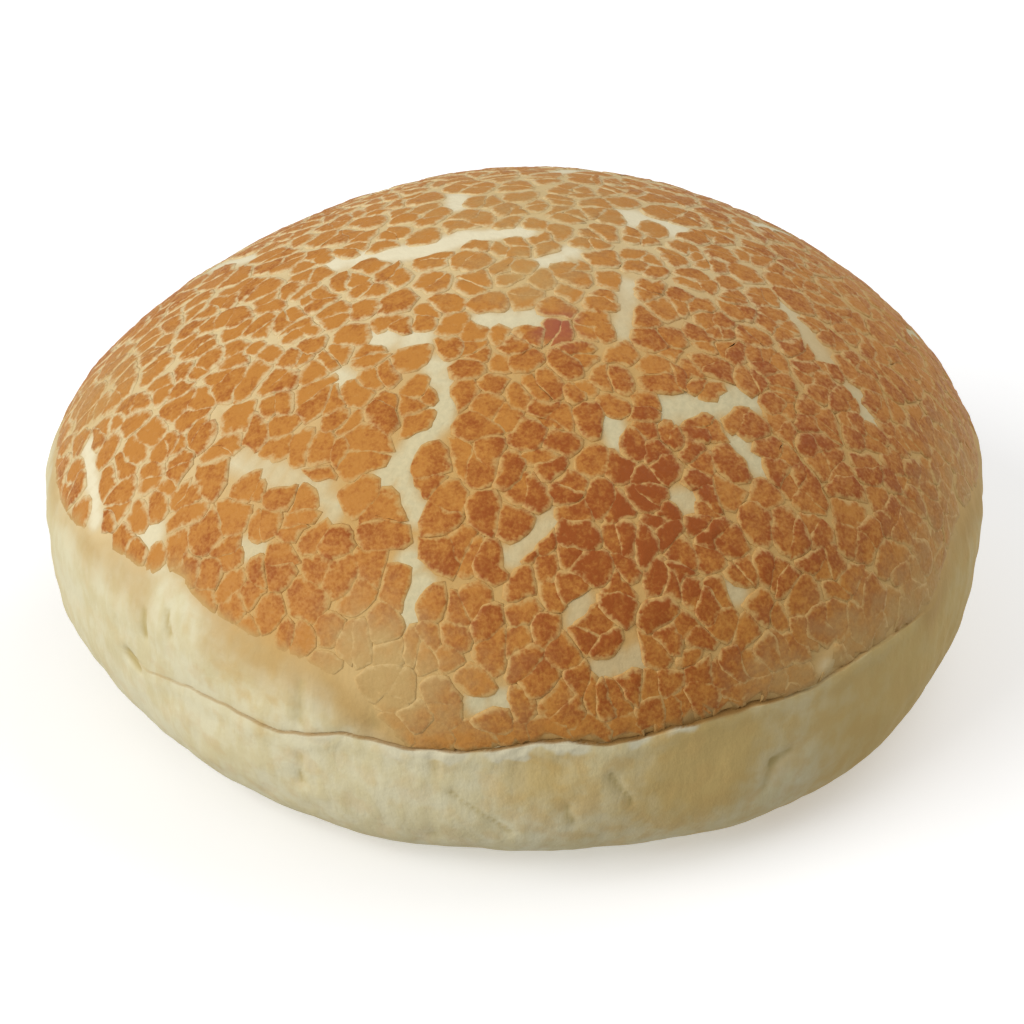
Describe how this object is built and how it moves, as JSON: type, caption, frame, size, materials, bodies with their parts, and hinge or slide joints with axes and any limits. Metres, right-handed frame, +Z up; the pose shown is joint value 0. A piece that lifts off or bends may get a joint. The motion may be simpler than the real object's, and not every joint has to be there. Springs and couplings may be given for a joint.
{
  "type": "tiger bread roll",
  "caption": "Round bread roll with a crackled golden-brown paste crust over its dome, pale bare sides, a flat base and a shallow knife cut along the front.",
  "frame": {"origin": "middle of the roll's box at the level that it stands on", "axes": "+Z up, the knife cut faces -Y, +X to the right as seen from the front"},
  "size_m": [0.1044, 0.1036, 0.0513],
  "materials": {
    "crust": "matte baked crust: golden-brown plates with cream dough in the cracks and on the sides"
  },
  "bodies": {
    "root": {"roll": "crust"}
  },
  "joints": []
}
